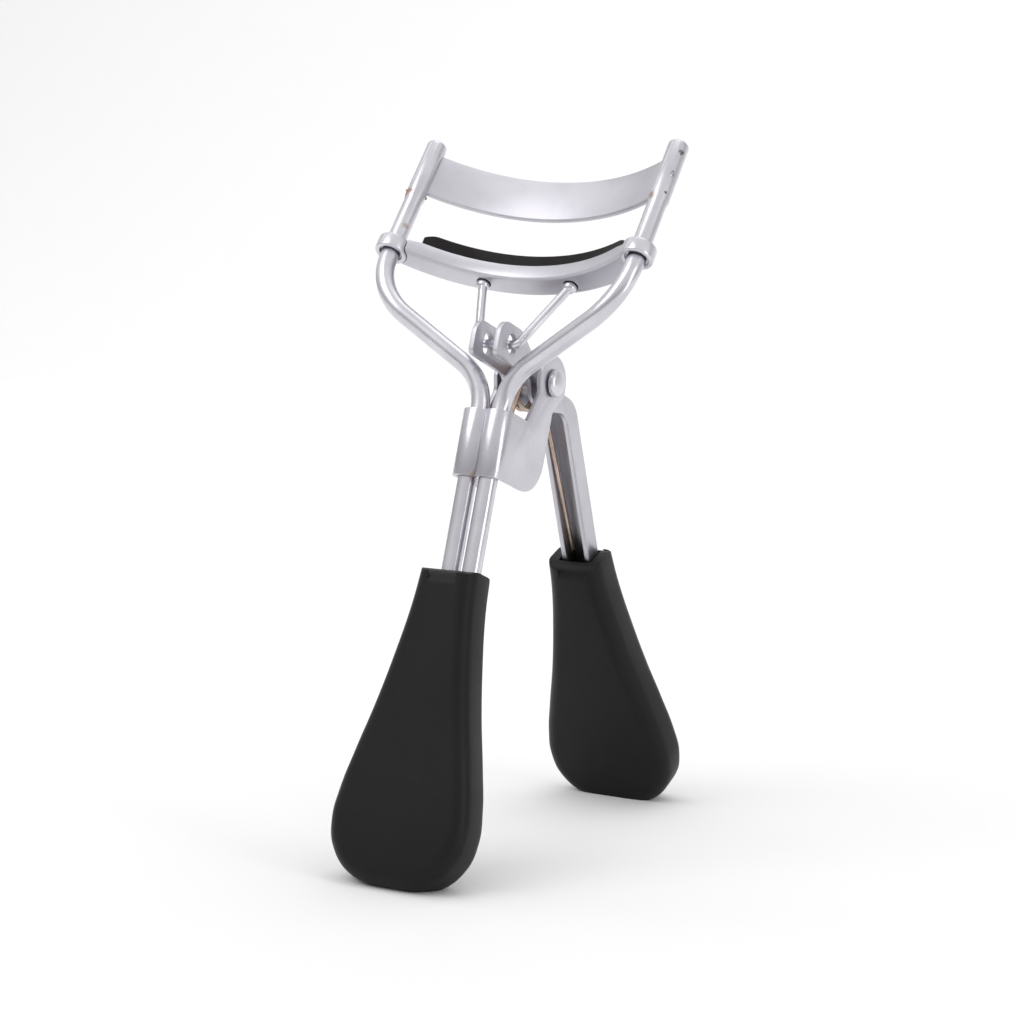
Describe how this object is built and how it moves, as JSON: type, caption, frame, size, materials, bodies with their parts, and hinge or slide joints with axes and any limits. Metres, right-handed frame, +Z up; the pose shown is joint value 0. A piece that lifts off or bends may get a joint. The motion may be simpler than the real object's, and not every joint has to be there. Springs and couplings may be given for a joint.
{
  "type": "eyelash curler",
  "caption": "Scissor-grip eyelash curler: fixed upper bar on two bent rods, sliding padded lower bar, wire link, sprung lever and soft paddle grips.",
  "frame": {"origin": "centre of the bounding box at floor level, with the curler standing on its two grips", "axes": "+Z up, +X to the curler's right as seen from the front grip's side, -Y towards the front grip, +Y towards the lever and its grip"},
  "size_m": [0.0426, 0.0722, 0.0978],
  "materials": {
    "frame_rod_left": "polished plated steel",
    "frame_rod_right": "polished plated steel",
    "upper_bar": "satin plated steel strip",
    "braze_left": "bare braze filler",
    "braze_right": "bare braze filler",
    "lower_bar": "satin plated steel sheet",
    "collar_left": "polished plated steel",
    "collar_right": "polished plated steel",
    "lash_pad": "matte silicone",
    "link_wire": "polished plated wire",
    "hinge_bracket": "plated sheet steel",
    "pivot_rivet": "polished plated steel",
    "lever": "satin plated sheet steel",
    "torsion_spring": "bronze-tinted spring wire",
    "front_grip": "soft-touch black",
    "rear_grip": "soft-touch black"
  },
  "bodies": {
    "frame": {"frame_rod_left": "frame_rod_left", "frame_rod_right": "frame_rod_right", "upper_bar": "upper_bar", "braze_left": "braze_left", "braze_right": "braze_right", "hinge_bracket": "hinge_bracket", "pivot_rivet": "pivot_rivet", "torsion_spring": "torsion_spring", "front_grip": "front_grip"},
    "lever": {"lever": "lever", "rear_grip": "rear_grip"},
    "carriage": {"lower_bar": "lower_bar", "collar_left": "collar_left", "collar_right": "collar_right", "lash_pad": "lash_pad"},
    "link": {"link_wire": "link_wire"}
  },
  "joints": [
    {"name": "lever_hinge", "type": "hinge", "parent": "frame", "child": "lever", "pos_m": [0, -0.00028, 0.06423], "axis": [-1, 0, 0], "range_deg": [0, 32.8], "stiffness_Nm_per_rad": 0.08, "springref_deg": -40, "deforming": ["torsion_spring"]},
    {"name": "bar_slide", "type": "slide", "parent": "frame", "child": "carriage", "axis": [0, 0.6146, 0.7889], "range_m": [0, 0.0065]},
    {"name": "link_hinge", "type": "hinge", "parent": "carriage", "child": "link", "pos_m": [0, -0.00217, 0.07742], "axis": [-1, 0, 0], "range_deg": [-4.2, 0]}
  ],
  "couplings": [
    {"joint": "bar_slide", "follows": "lever_hinge", "m_per_rad": 0.0108},
    {"joint": "link_hinge", "follows": "lever_hinge", "ratio": -0.1025}
  ]
}
